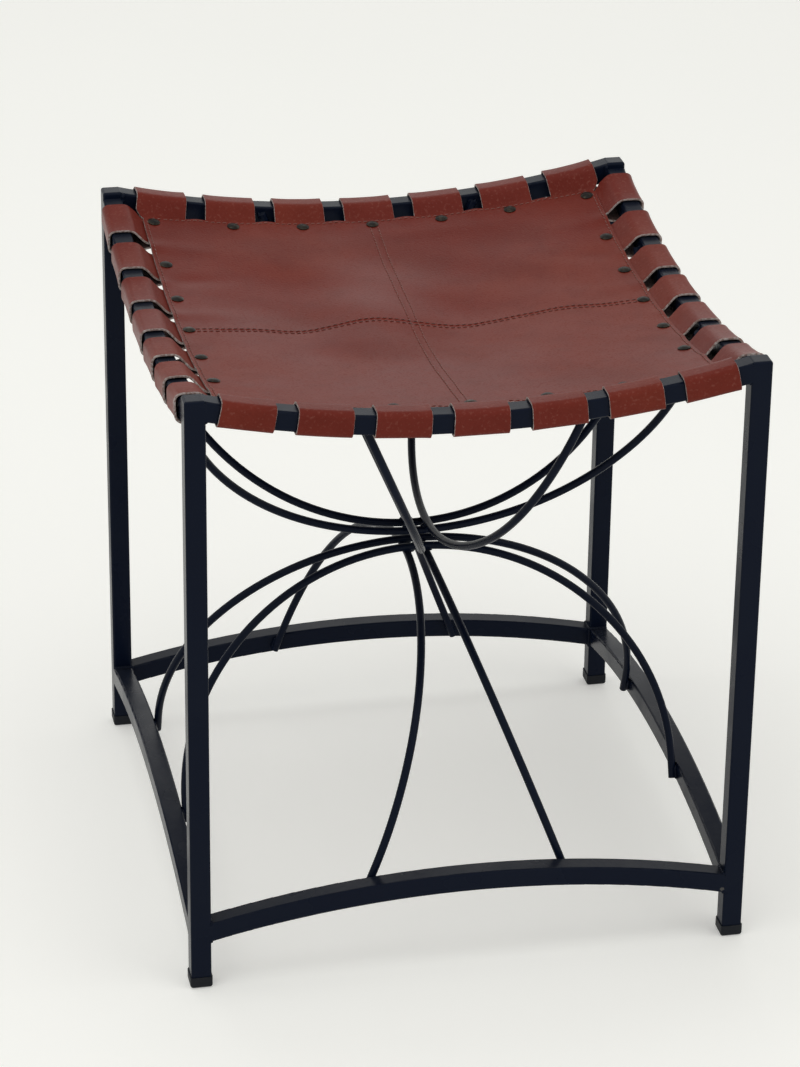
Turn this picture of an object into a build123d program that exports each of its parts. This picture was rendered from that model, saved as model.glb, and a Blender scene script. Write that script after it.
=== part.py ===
from build123d import *
import math
import os

# A stool with a square-tube frame, two bundles of bent rods that brace it, and
# a leather seat whose straps wrap the top rails. Millimetres, +Z up, origin on
# the floor under the middle of the frame, front towards -Y.

# Frame tube
frame_width = 415.0       # over the legs, along X
frame_depth = 425.0       # over the legs, along Y
frame_height = 465.0      # floor to the tops of the legs
tube = 15.0               # outer side of the square tube
tube_wall = 1.5
tube_corner = 1.5         # outer corner radius of the tube
leg_top_round = 2.0       # rounding over the welded top of a leg
bow_radius = 850.0        # bend of the rails and stretchers, on the tube's axis
front_rail_drop = 1.0     # front and back rails below the tops of the legs, at the legs
side_rail_drop = 5.0      # the same for the left and right rails
stretcher_height = 38.0   # floor to the underside of a stretcher, at the leg

# Foot caps
cap_side = 16.4           # side of the square sole
cap_height = 9.0          # sole that shows under the leg
cap_round = 2.5           # rounding of the sole's lower edges
plug_height = 14.0        # ribless plug inside the leg
plug_clearance = 0.2      # between the plug and the bore, each side

# Rods
rod_diameter = 6.0
rod_gap = 0.2             # weld gap to the tubes and between crossing rods
bundle_height = 250.0     # floor to the middle of the space between the bundles
bundle_space = 7.2        # clear height between the two bundles
crown_offset = 7.3        # from the middle plane to the top of each bent rod
cross_rise = 180.0        # crown to shoulder end, rods that run along X
cross_shoulder = 170.0    # shoulder radius of those rods
fore_rise = 174.0         # crown to shoulder end, rods that run along Y
fore_shoulder = 163.0     # shoulder radius of those rods
lower_end_offset = 75.0   # from the middle plane to the ends of the lower rods
lower_end_inset = 3.0     # lower rod's end above the underside of the stretcher
upper_end_share = 0.62    # place of an upper rod's end in the gap between two straps
upper_end_inset = 4.5     # upper rod's end below the top of the rail

# Leather seat
panel_thick = 1.6
panel_inset = 13.0        # from the inner face of the rail to the panel's edge
panel_drop = 7.0          # panel's edge below the top of the rail
panel_dish = 11.5         # middle of the panel below the middle of its edges
panel_corner = 6.0        # corner radius of the panel's outline
strap_thick = 1.6
strap_width = 39.0
straps_per_side = 7
strap_leg_room = 8.0      # between the last strap and the leg, along the bend
strap_tuck = 21.0         # length of the strap under the panel
strap_fold = 5.0          # bend radius where the strap turns under the panel
leather_gap = 0.5         # between layers of leather, and between leather and tube

# Rivets
rivet_inset = 8.0         # from the panel's edge to the rivet
rivet_head = 9.5          # diameter of the domed head
rivet_dome = 2.0          # height of the dome
rivet_post = 4.0          # diameter of the post
rivet_cap = 8.5           # diameter of the ring under the straps
rivet_cap_thick = 1.2
rivet_gap = 0.15          # round the post, and under the head

# Worked out from the sizes above
inner_x = frame_width / 2 - tube
inner_y = frame_depth / 2 - tube
panel_x = inner_x - panel_inset
panel_y = inner_y - panel_inset
front_top = frame_height - front_rail_drop
side_top = frame_height - side_rail_drop

# Each side: distance to the rail's outer face, half the length between the
# legs, height of the rail's top at the legs, and the turn about Z that brings
# the front there.
SIDES = {
    "front": (frame_depth / 2, inner_x, front_top, 0),
    "right": (frame_width / 2, inner_y, side_top, 90),
    "back": (frame_depth / 2, inner_x, front_top, 180),
    "left": (frame_width / 2, inner_y, side_top, 270),
}


def bow(radius, run):
    """Rise of an arc of this radius over half its chord."""
    return radius - math.sqrt(radius**2 - run**2)


def rail_top_middle(side):
    """Height of a top rail's upper face at the middle of its length."""
    reach, run, top, turn = SIDES[side]
    return top - bow(bow_radius, run)


def tube_section(plane):
    """Cross section of the square tube with its rounded corners."""
    bore = tube - 2 * tube_wall
    return plane * (RectangleRounded(tube, tube, tube_corner) - Rectangle(bore, bore))


def leg():
    """Upright tube, closed and rounded at the top, open at the foot."""
    length = frame_height - cap_height
    shell = extrude(RectangleRounded(tube, tube, tube_corner), length)
    shell = fillet(shell.faces().sort_by(Axis.Z)[-1].edges(), min(leg_top_round, tube / 4))
    bore = tube - 2 * tube_wall
    shell -= extrude(Rectangle(bore, bore), length - tube_wall)
    return Pos(0, 0, cap_height) * shell


def bowed_tube(reach, run, end_height, upward):
    """Square tube bent between two legs, on the front side of the frame.

    end_height is the height of the tube's axis at the legs. upward is 1 where
    the middle stands above the ends and -1 where it hangs below them.
    """
    middle = end_height + upward * bow(bow_radius, run)
    bend = Axis((0, 0, middle - upward * bow_radius), (0, 1, 0))
    plane = Plane((0, tube / 2 - reach, middle), x_dir=(0, 1, 0), z_dir=(1, 0, 0))
    half_turn = math.degrees(math.asin(run / bow_radius)) + 2
    bar = revolve(tube_section(plane), bend, 2 * half_turn).rotate(bend, -half_turn)
    return bar & Pos(0, tube / 2 - reach, end_height) * Box(2 * run, 2 * tube, 8 * tube)


def foot_cap():
    """Plastic sole with the plug that holds it in the leg."""
    sole = extrude(RectangleRounded(cap_side, cap_side, tube_corner), cap_height)
    sole = fillet(sole.faces().sort_by(Axis.Z)[0].edges(), min(cap_round, cap_height / 3))
    plug = tube - 2 * tube_wall - 2 * plug_clearance
    return sole + Pos(0, 0, cap_height) * extrude(Rectangle(plug, plug), plug_height)


def rod(span, rise, shoulder, crown, end):
    """Bent round bar: a crown arc, two tighter shoulders and straight ends.

    span is half the width over the bar's axis, rise the distance from the
    crown to where the shoulders end, measured in the leaning plane of the bar.
    crown and end are (across, height) of the crown and of the ends, and the
    bar runs along X.
    """
    lean = Vector(0, end[0] - crown[0], end[1] - crown[1])
    drop = lean.length
    down = lean.normalized()
    shoulder = min(shoulder, 0.97 * rise, 0.97 * span)
    crown_radius = ((span - shoulder)**2 + rise**2 - shoulder**2) / (2 * (rise - shoulder))
    turn = math.atan2(span - shoulder, crown_radius - rise)
    half = (turn + math.pi / 2) / 2

    def at(along, depth):
        return Vector(along, crown[0], crown[1]) + down * depth

    def on_shoulder(angle, sign):
        along = span - shoulder + shoulder * math.sin(angle)
        return at(sign * along, rise - shoulder * math.cos(angle))

    path = Wire([
        Edge.make_line(at(-span, drop), at(-span, rise)),
        Edge.make_three_point_arc(at(-span, rise), on_shoulder(half, -1), on_shoulder(turn, -1)),
        Edge.make_three_point_arc(on_shoulder(turn, -1), at(0, 0), on_shoulder(turn, 1)),
        Edge.make_three_point_arc(on_shoulder(turn, 1), on_shoulder(half, 1), at(span, rise)),
        Edge.make_line(at(span, rise), at(span, drop)),
    ])
    return sweep(Plane(at(-span, drop), z_dir=-down) * Circle(rod_diameter / 2), path)


def panel_height(x, y):
    """Upper face of the seat panel: its edges hang below the bowed rails."""
    side_edge = rail_top_middle("right") + bow(bow_radius, y) - panel_drop
    front_edge = rail_top_middle("front") - panel_drop
    middle = front_edge - panel_dish * (1 - (y / panel_y)**2)
    return middle + (side_edge - middle) * (x / panel_x)**2


def panel_normal(x, y):
    """Upward normal of the panel's upper face."""
    step = 0.5
    slope_x = (panel_height(x + step, y) - panel_height(x - step, y)) / (2 * step)
    slope_y = (panel_height(x, y + step) - panel_height(x, y - step)) / (2 * step)
    return Vector(-slope_x, -slope_y, 1).normalized()


def panel():
    """Dished sheet of leather, lofted through arched strips from front to back."""
    strips = []
    for share in (-1.0, -0.5, 0.0, 0.5, 1.0):
        y = share * (panel_y + panel_corner)
        x = panel_x + panel_corner
        top = [Vector(s * x, y, panel_height(s * x, y)) for s in (-1, 0, 1)]
        low = [p - Vector(0, 0, panel_thick) for p in top]
        strips.append(Face(Wire([
            Edge.make_three_point_arc(*top),
            Edge.make_line(top[2], low[2]),
            Edge.make_three_point_arc(low[2], low[1], low[0]),
            Edge.make_line(low[0], top[0]),
        ])))
    outline = RectangleRounded(2 * panel_x, 2 * panel_y, panel_corner)
    return loft(strips) & extrude(outline, 2 * frame_height)


def strap_pitch(run):
    """Spacing of the straps along the bend of a rail."""
    return (2 * (run - strap_leg_room) - strap_width) / (straps_per_side - 1)


def strap_places(run):
    """Places of the straps along a rail, as distances along its bend."""
    middle = (straps_per_side - 1) / 2
    return [(i - middle) * strap_pitch(run) for i in range(straps_per_side)]


def upper_rod_end(run):
    """Place of an upper rod's end along a rail, in the gap beside the second strap."""
    gap = strap_pitch(run) - strap_width
    return strap_pitch(run) + strap_width / 2 + upper_end_share * gap


def strap_section(side, drop, slope):
    """Outline of a strap wrapped round the front rail, in the plane x = 0.

    The strap starts under the panel, climbs over the rail, goes round it and
    comes back under its own start. drop is the panel's edge below the top of
    the rail, and slope the panel's fall inwards.
    """
    reach = SIDES[side][0]
    stand_off = leather_gap + strap_thick / 2
    bend = tube_corner + stand_off
    tuck = panel_inset + strap_tuck
    turn_in = panel_inset - strap_fold / 2
    under = drop + panel_thick + stand_off
    layer = strap_thick + leather_gap

    def upper(u):
        return u, -under - slope * (u - panel_inset)

    def lower(u):
        return u, upper(u)[1] - layer

    route = [
        upper(tuck),
        upper(turn_in),
        (stand_off / 2, stand_off),
        (-tube - stand_off, stand_off),
        (-tube - stand_off, -tube - stand_off),
        (stand_off / 2, -tube - stand_off),
        lower(turn_in),
        lower(tuck - layer),
    ]
    plane = Plane((0, tube - reach, rail_top_middle(side)), x_dir=(0, 1, 0), z_dir=(1, 0, 0))
    line = FilletPolyline(*route, radius=[strap_fold, bend, bend, bend, strap_fold, strap_fold])
    outline = offset(line, strap_thick / 2, side=Side.BOTH)
    return plane * make_face(outline.edges())


def rivet_place(side, place, last):
    """Foot of a rivet on the panel's upper face, and the way it points."""
    reach, run, top, turn = SIDES[side]
    along = bow_radius * math.sin(place / bow_radius)
    if abs(place) == last:
        along = math.copysign(run - panel_inset - rivet_inset, place)
    spot = Vector(along, rivet_inset + panel_inset + tube - reach, 0).rotate(Axis.Z, turn)
    return Plane((spot.X, spot.Y, panel_height(spot.X, spot.Y)), z_dir=panel_normal(spot.X, spot.Y))


def stack_depth():
    """Thickness of what a rivet clamps: the panel and two layers of strap."""
    return panel_thick + 2 * strap_thick + 3 * leather_gap


def rivet_hole(plane):
    """Punched hole for a rivet's post."""
    return plane * Cylinder(rivet_post / 2 + rivet_gap, 6 * stack_depth())


def strap(side, place, last):
    """One strap, bent with the rail it wraps and punched for its rivet."""
    reach, run, top, turn = SIDES[side]
    middle = rail_top_middle(side)
    along = bow_radius * math.sin(place / bow_radius)
    edge = Vector(along, panel_inset + tube - reach, 0).rotate(Axis.Z, turn)
    inward = Vector(0, 1, 0).rotate(Axis.Z, turn)
    sideways = Vector(1, 0, 0).rotate(Axis.Z, turn)
    normal = panel_normal(edge.X, edge.Y)
    slope = normal.dot(inward) / normal.Z
    rail_height = middle + bow(bow_radius, along)
    drop = (rail_height - panel_height(edge.X, edge.Y)) * math.cos(place / bow_radius)

    bend = Axis((0, 0, middle - tube / 2 + bow_radius), (0, 1, 0))
    half_turn = math.degrees(strap_width / 2 / bow_radius)
    body = revolve(strap_section(side, drop, slope), bend, 2 * half_turn)
    body = body.rotate(bend, -half_turn - math.degrees(place / bow_radius))
    # The strap twists halfway from the tilt of the rail to that of the panel's edge.
    twist = (math.atan2(-normal.dot(sideways), normal.Z) - place / bow_radius) / 2
    body = body.rotate(Axis((along, 0, rail_height - tube / 2), (0, 1, 0)), -math.degrees(twist))
    if abs(place) == last:
        corner = math.copysign(run - panel_inset, place), panel_inset + tube - reach
        size = 4 * strap_width
        away = Pos(size / 2 - leather_gap / 2, 0) * Box(size, size, 8 * tube)
        lean = 45 if place > 0 else 135
        body -= Pos(*corner, top) * Rot(0, 0, lean) * away
    return body.rotate(Axis.Z, turn) - rivet_hole(rivet_place(side, place, last))


def rivet():
    """Domed rivet standing on the plane z = 0, with its post below."""
    radius = rivet_head / 2
    post = rivet_post / 2
    rim = rivet_gap + rivet_dome / 4
    top = rivet_gap + rivet_dome
    foot = -stack_depth() - rivet_cap_thick
    ball = (radius**2 + (top - rim)**2) / (2 * (top - rim))
    half = math.asin(radius / ball) / 2
    outline = Polyline((0, top), (0, foot), (post, foot), (post, rivet_gap), (radius, rivet_gap), (radius, rim))
    dome = ThreePointArc(
        (radius, rim), (ball * math.sin(half), top - ball + ball * math.cos(half)), (0, top))
    return revolve(Plane.XZ * make_face([*outline.edges(), dome]), Axis.Z)


def rivet_ring():
    """Ring under the straps, round the end of the post."""
    ring = Circle(rivet_cap / 2) - Circle(rivet_post / 2 + rivet_gap)
    return Pos(0, 0, -stack_depth() - rivet_cap_thick) * extrude(ring, rivet_cap_thick)


def build():
    """Every piece of the stool by name."""
    pieces = {}
    for name, (sx, sy) in {
        "front_left": (-1, -1), "front_right": (1, -1), "back_left": (-1, 1), "back_right": (1, 1),
    }.items():
        corner = Pos(sx * (frame_width - tube) / 2, sy * (frame_depth - tube) / 2)
        pieces[f"leg_{name}"] = corner * leg()
        pieces[f"foot_cap_{name}"] = corner * foot_cap()

    for side, (reach, run, top, turn) in SIDES.items():
        rail = bowed_tube(reach, run, top - tube / 2, -1)
        stretcher = bowed_tube(reach, run, stretcher_height + tube / 2, 1)
        pieces[f"top_rail_{side}"] = rail.rotate(Axis.Z, turn)
        pieces[f"stretcher_{side}"] = stretcher.rotate(Axis.Z, turn)

    rod_reach = rod_diameter / 2 + rod_gap
    for side, (reach, run, top, turn) in SIDES.items():
        along_x = side in ("front", "back")
        rise, shoulder = (cross_rise, cross_shoulder) if along_x else (fore_rise, fore_shoulder)
        lift = bundle_space / 2 + rod_diameter / 2
        if not along_x:
            lift += rod_diameter + rod_gap
        # The rods on this side end on the rails and stretchers of the next ones.
        end_run = reach - tube
        end_top = side_top if along_x else front_top
        end_bow = bow(bow_radius, end_run)
        upper_end = upper_rod_end(end_run)
        low_end = stretcher_height + end_bow - bow(bow_radius, lower_end_offset) + lower_end_inset
        high_end = end_top - end_bow + bow(bow_radius, upper_end) - upper_end_inset
        lower = rod(run - rod_reach, rise, shoulder,
                    (-crown_offset, bundle_height - lift), (-lower_end_offset, low_end))
        upper = rod(run - rod_reach, rise, shoulder,
                    (-crown_offset, bundle_height + lift), (-upper_end, high_end))
        pieces[f"lower_rod_{side}"] = lower.rotate(Axis.Z, turn)
        pieces[f"upper_rod_{side}"] = upper.rotate(Axis.Z, turn)

    spots = []
    for side, (reach, run, top, turn) in SIDES.items():
        places = strap_places(run)
        for number, place in enumerate(places, 1):
            pieces[f"strap_{side}_{number}"] = strap(side, place, places[-1])
            # A corner rivet holds two straps and belongs to the side it ends.
            if number > 1:
                spots.append(rivet_place(side, place, places[-1]))

    seat = panel()
    for spot in spots:
        seat -= rivet_hole(spot)
    pieces["seat_panel"] = seat
    pieces["rivets"] = Compound([spot.location * rivet() for spot in spots])
    pieces["rivet_rings"] = Compound([spot.location * rivet_ring() for spot in spots])
    return pieces


def main():
    os.makedirs("parts", exist_ok=True)
    for name, shape in build().items():
        export_step(shape, f"parts/{name}.step")


if __name__ == "__main__":
    main()
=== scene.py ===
import itertools
import logging
import math
import random
from dataclasses import dataclass, field
from enum import Enum
from typing import Iterable, Sequence

import bmesh
import bpy
import numpy as np
from mathutils import Matrix, Vector
from mathutils.bvhtree import BVHTree


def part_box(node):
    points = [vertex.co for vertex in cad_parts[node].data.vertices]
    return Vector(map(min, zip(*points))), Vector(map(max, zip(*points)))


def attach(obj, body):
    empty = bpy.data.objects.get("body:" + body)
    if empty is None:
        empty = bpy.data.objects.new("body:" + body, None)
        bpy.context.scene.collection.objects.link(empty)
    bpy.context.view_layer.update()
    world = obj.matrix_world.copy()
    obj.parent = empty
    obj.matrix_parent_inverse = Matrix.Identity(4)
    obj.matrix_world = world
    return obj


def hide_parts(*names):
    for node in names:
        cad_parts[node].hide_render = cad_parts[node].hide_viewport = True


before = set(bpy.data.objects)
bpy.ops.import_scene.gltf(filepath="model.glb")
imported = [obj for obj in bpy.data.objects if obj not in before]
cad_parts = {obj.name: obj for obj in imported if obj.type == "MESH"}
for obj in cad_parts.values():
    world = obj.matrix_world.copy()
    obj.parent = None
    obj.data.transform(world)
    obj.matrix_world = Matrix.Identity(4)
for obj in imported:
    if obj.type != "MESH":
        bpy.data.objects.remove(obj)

log = logging.getLogger("stool")
Colour = tuple[float, float, float]
Place = tuple[float, float]
Faces = list[tuple[int, ...]]
Socket = bpy.types.NodeSocket

MM = 0.001
TINY = 1e-12
UP = np.array([0.0, 0.0, 1.0])

# Numbers of the Mix node's sockets, because their names repeat.
SHARE, VALUE_A, VALUE_B, COLOUR_A, COLOUR_B = 0, 2, 3, 6, 7
MIXED_VALUE, MIXED_COLOUR = 0, 2


class Side(Enum):
    """The four sides of the seat, each with the turn that brings the front there."""

    FRONT = 0
    RIGHT = 90
    BACK = 180
    LEFT = 270

    @property
    def label(self) -> str:
        """Name of the side in the node names."""
        return self.name.lower()

    @property
    def axis(self) -> int:
        """Axis that the side runs along: 0 across the seat, 1 from front to back."""
        return 0 if self in (Side.FRONT, Side.BACK) else 1

    @property
    def spin(self) -> np.ndarray:
        """Rotation that brings the front to this side."""
        a = math.radians(self.value)
        return np.array([[math.cos(a), -math.sin(a), 0], [math.sin(a), math.cos(a), 0], [0, 0, 1]])


class Face(Enum):
    """Material places on a piece of leather."""

    GRAIN = 0
    CUT = 1
    FLESH = 2


# Shader graphs


class Graph:
    """A shader node tree with short calls to add and join nodes."""

    def __init__(self, tree: bpy.types.NodeTree) -> None:
        """Start on a tree.

        Args:
            tree: the tree that the nodes go into.
        """
        self.tree = tree

    def feed(self, node: bpy.types.Node, inputs: dict[str | int, object]) -> None:
        """Set or link a node's inputs.

        Args:
            node: the node.
            inputs: values or sockets, by the input's name or number.
        """
        for key, value in inputs.items():
            if isinstance(value, Socket):
                self.tree.links.new(value, node.inputs[key])
            else:
                node.inputs[key].default_value = value

    def add(self, kind: str, inputs: dict[str | int, object] | None = None,
            **settings: object) -> bpy.types.Node:
        """Add one node.

        Args:
            kind: Blender's type name after "ShaderNode".
            inputs: values or sockets for the node's inputs, by name or number.
            settings: attributes of the node.

        Returns:
            The new node.
        """
        node = self.tree.nodes.new("ShaderNode" + kind)
        for key, value in settings.items():
            setattr(node, key, value)
        self.feed(node, inputs or {})
        return node

    def math(self, operation: str, a: object, b: object, c: object = 0.0,
             clamp: bool = False) -> Socket:
        """Combine values.

        Args:
            operation: name of the Math node's operation.
            a: first value or socket.
            b: second value or socket.
            c: third value or socket, for the operations that have one.
            clamp: whether to hold the result between 0 and 1.

        Returns:
            The result's socket.
        """
        node = self.add("Math", {0: a, 1: b, 2: c}, operation=operation, use_clamp=clamp)
        return node.outputs[0]

    def dot(self, a: object, b: object) -> Socket:
        """Dot product of two vectors."""
        return self.add("VectorMath", {0: a, 1: b}, operation="DOT_PRODUCT").outputs["Value"]

    def span(self, value: Socket, low: object, high: object,
             to_low: float = 0.0, to_high: float = 1.0) -> Socket:
        """Map a value smoothly from one range to another.

        Args:
            value: socket to map.
            low: start of its range.
            high: end of its range.
            to_low: result at the start.
            to_high: result at the end.

        Returns:
            The mapped socket.
        """
        ends = {0: value, 1: low, 2: high, 3: to_low, 4: to_high}
        return self.add("MapRange", ends, interpolation_type="SMOOTHSTEP").outputs[0]

    def noise(self, place: Socket, scale: object, detail: float, roughness: float = 0.5) -> Socket:
        """Fractal noise at a place, as a value."""
        inputs = {"Vector": place, "Scale": scale, "Detail": detail, "Roughness": roughness}
        return self.add("TexNoise", inputs).outputs["Fac"]

    def mix(self, share: object, a: object, b: object) -> Socket:
        """Mix two colours.

        Args:
            share: how much of the second colour.
            a: first colour or socket.
            b: second colour or socket.

        Returns:
            The mixed colour's socket.
        """
        a, b = (c if isinstance(c, Socket) else (*c, 1.0) for c in (a, b))
        node = self.add("Mix", {SHARE: share, COLOUR_A: a, COLOUR_B: b}, data_type="RGBA")
        return node.outputs[MIXED_COLOUR]

    def tint(self, colour: object, mask: Socket, share: float, over: Colour) -> Socket:
        """Lay a second colour over a first one, by a share of a mask."""
        return self.mix(self.math("MULTIPLY", mask, share), colour, over)

    def bump(self, height: Socket, depth: float, strength: float) -> Socket:
        """Turn a height into a normal; one unit of height is the depth in metres."""
        inputs = {"Height": height, "Distance": depth, "Strength": strength}
        return self.add("Bump", inputs).outputs["Normal"]

    def effect(self, tree: bpy.types.NodeTree, **values: float) -> bpy.types.bpy_prop_collection:
        """Place an effect group on the piece's own coordinates.

        Args:
            tree: the effect's node group.
            values: the group's inputs by name.

        Returns:
            What the group puts out.
        """
        place = self.add("TexCoord").outputs["Object"]
        return self.add("Group", {"Vector": place, **values}, node_tree=tree).outputs

    def mask(self, tree: bpy.types.NodeTree, **values: float) -> Socket:
        """Place an effect group and take its mask."""
        return self.effect(tree, **values)["Mask"]


def node_group(name: str, inputs: dict[str, float], outputs: Sequence[str]
               ) -> tuple[Graph, bpy.types.bpy_prop_collection, bpy.types.Node]:
    """Start a shader node group with named sockets, the first of them its Vector.

    Args:
        name: the group's name.
        inputs: default of each further input by name.
        outputs: names of the values it puts out.

    Returns:
        The group's graph, what it is given, and its output node.
    """
    tree = bpy.data.node_groups.new(name, "ShaderNodeTree")
    tree.interface.new_socket("Vector", in_out="INPUT", socket_type="NodeSocketVector")
    for label, default in inputs.items():
        socket = tree.interface.new_socket(label, in_out="INPUT", socket_type="NodeSocketFloat")
        socket.default_value = default
    for label in outputs:
        tree.interface.new_socket(label, in_out="OUTPUT", socket_type="NodeSocketFloat")
    given = tree.nodes.new("NodeGroupInput").outputs
    return Graph(tree), given, tree.nodes.new("NodeGroupOutput")


class Effects:
    """Surface effects for the finishes, each built once as a node group."""

    def __init__(self) -> None:
        """Build every group."""
        self.grain = self._grain()
        self.patches = self._patches()
        self.edge_wear = self._edge_wear()
        self.specks = self._specks()
        self.dust = self._dust()

    def _grain(self) -> bpy.types.NodeTree:
        """Fine pebbled hide with soft creases.

        Returns:
            The group, which puts out Height and Pores.
        """
        graph, given, result = node_group(
            "HideGrain", {"Pebbles": 900.0, "Creases": 0.35}, ("Height", "Pores"))
        place = given["Vector"]
        stray = graph.add("TexNoise", {"Vector": place, "Scale": 260.0, "Detail": 3.0})
        small = graph.add("VectorMath", {0: stray.outputs["Color"], "Scale": 1.2 * MM},
                          operation="SCALE")
        bent = graph.add("VectorMath", {0: place, 1: small.outputs[0]}, operation="ADD")
        cells = graph.add("TexVoronoi", {"Vector": bent.outputs[0], "Scale": given["Pebbles"]},
                          feature="SMOOTH_F1")
        pores = graph.span(cells.outputs["Distance"], low=0.35, high=0.75)
        folds = graph.noise(place, scale=46.0, detail=5.0, roughness=0.62)
        creases = graph.math("MULTIPLY", folds, given["Creases"])
        height = graph.math("MULTIPLY_ADD", pores, -0.5, creases)
        graph.feed(result, {"Height": height, "Pores": pores})
        return graph.tree

    def _patches(self) -> bpy.types.NodeTree:
        """Soft patches of any size.

        Returns:
            The group, which puts out Mask.
        """
        graph, given, result = node_group(
            "SoftPatches", {"Scale": 9.0, "Low": 0.4, "High": 0.62}, ("Mask",))
        noise = graph.noise(given["Vector"], given["Scale"], detail=4.0, roughness=0.55)
        graph.feed(result, {"Mask": graph.span(noise, given["Low"], given["High"])})
        return graph.tree

    def _edge_wear(self) -> bpy.types.NodeTree:
        """Rubbed outer edges, broken up by noise.

        Returns:
            The group, which puts out Mask.
        """
        graph, given, result = node_group(
            "EdgeWear", {"Radius": 1.2 * MM, "Breaks": 90.0, "Amount": 0.5}, ("Mask",))
        rounded = graph.add("Bevel", {"Radius": given["Radius"]}, samples=4).outputs[0]
        level = graph.dot(rounded, graph.add("NewGeometry").outputs["Normal"])
        edge = graph.span(level, low=0.985, high=0.88)
        noise = graph.noise(given["Vector"], given["Breaks"], detail=5.0, roughness=0.7)
        worn = graph.math("MULTIPLY", edge, graph.span(noise, low=0.46, high=0.66))
        mask = graph.math("MULTIPLY", worn, given["Amount"], clamp=True)
        graph.feed(result, {"Mask": mask})
        return graph.tree

    def _specks(self) -> bpy.types.NodeTree:
        """Sparse small marks, such as chips.

        Returns:
            The group, which puts out Mask.
        """
        graph, given, result = node_group(
            "Specks", {"Scale": 60.0, "Size": 0.1, "Share": 0.12}, ("Mask",))
        place = given["Vector"]
        cells = graph.add("TexVoronoi", {"Vector": place, "Scale": given["Scale"]}).outputs
        pick = graph.add("SeparateColor", {0: cells["Color"]}).outputs[0]
        chosen = graph.math("LESS_THAN", pick, given["Share"])
        ragged = graph.math("MULTIPLY_ADD", graph.noise(place, scale=700.0, detail=2.0), 1.4, 0.5)
        reach = graph.math("MULTIPLY", given["Size"], ragged)
        inside = graph.math("LESS_THAN", cells["Distance"], reach)
        graph.feed(result, {"Mask": graph.math("MULTIPLY", chosen, inside)})
        return graph.tree

    def _dust(self) -> bpy.types.NodeTree:
        """Thin dust on faces that look up.

        Returns:
            The group, which puts out Mask.
        """
        graph, given, result = node_group(
            "SettledDust", {"Scale": 30.0, "Amount": 0.6}, ("Mask",))
        normal = graph.add("SeparateXYZ", {0: graph.add("NewGeometry").outputs["Normal"]})
        level = graph.span(normal.outputs["Z"], low=0.75, high=0.97)
        noise = graph.noise(given["Vector"], given["Scale"], detail=5.0, roughness=0.65)
        lying = graph.math("MULTIPLY", level, graph.span(noise, low=0.25, high=0.7))
        mask = graph.math("MULTIPLY", lying, given["Amount"], clamp=True)
        graph.feed(result, {"Mask": mask})
        return graph.tree


def start_material(name: str, constants: dict[str, float]
                   ) -> tuple[bpy.types.Material, Graph, bpy.types.Node]:
    """Start a node material with one principled shader.

    Args:
        name: the material's name.
        constants: plain values of the shader's own inputs.

    Returns:
        The material, its graph and the shader node.
    """
    material = bpy.data.materials.new(name)
    material.use_nodes = True
    graph = Graph(material.node_tree)
    shader = graph.tree.nodes["Principled BSDF"]
    graph.feed(shader, constants)
    return material, graph, shader


# Finishes


@dataclass(frozen=True)
class Hide:
    """Smooth finished leather: the grain side, with broad lighter patches that are a painted sheen.
    """

    name: str
    base: Colour = (0.158, 0.0195, 0.0115)
    deep: Colour = (0.106, 0.012, 0.007)
    # Lighter colour of the broad patches: a painted sheen.
    faded: Colour = (0.180, 0.030, 0.018)
    rubbed: Colour = (0.24, 0.09, 0.07)
    flecks: Colour = (0.26, 0.085, 0.065)
    fleck_share: float = 0.12
    pool_share: float = 0.38
    spot_share: float = 0.22
    pore_share: float = 0.12
    specular: float = 0.07
    roughness: float = 0.30
    # Extra roughness where the painted sheen patches lie.
    faded_roughness: float = 0.10
    pore_roughness: float = 0.08

    def material(self, effects: Effects) -> bpy.types.Material:
        """Build the finish.

        Args:
            effects: the shared node groups.

        Returns:
            The leather material.
        """
        material, graph, shader = start_material(self.name, {"Specular IOR Level": self.specular})
        # Broad lighter patches: a painted sheen in the hide's colour.
        faded = graph.mask(effects.patches, Scale=6.0, Low=0.38, High=0.64)
        pools = graph.mask(effects.patches, Scale=11.0, Low=0.46, High=0.66)
        spots = graph.mask(effects.patches, Scale=55.0, Low=0.42, High=0.7)
        flecks = graph.mask(effects.patches, Scale=420.0, Low=0.53, High=0.74)
        rubbed = graph.mask(effects.edge_wear, Radius=1.4 * MM, Breaks=120.0, Amount=0.55)
        grain = graph.effect(effects.grain, Pebbles=760.0, Creases=0.5)
        # Painted sheen: the broad patches lighten the base colour.
        colour = graph.mix(faded, self.base, self.faded)
        colour = graph.tint(colour, pools, self.pool_share, self.deep)
        colour = graph.tint(colour, spots, self.spot_share, self.deep)
        colour = graph.tint(colour, grain["Pores"], self.pore_share, self.deep)
        colour = graph.tint(colour, flecks, self.fleck_share, self.flecks)
        colour = graph.mix(rubbed, colour, self.rubbed)
        rough = graph.math("MULTIPLY_ADD", faded, self.faded_roughness, self.roughness)
        rough = graph.math("MULTIPLY_ADD", grain["Pores"], self.pore_roughness, rough)
        normal = graph.bump(grain["Height"], depth=0.4 * MM, strength=0.22)
        graph.feed(shader, {"Base Color": colour, "Roughness": rough, "Normal": normal})
        return material


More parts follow.
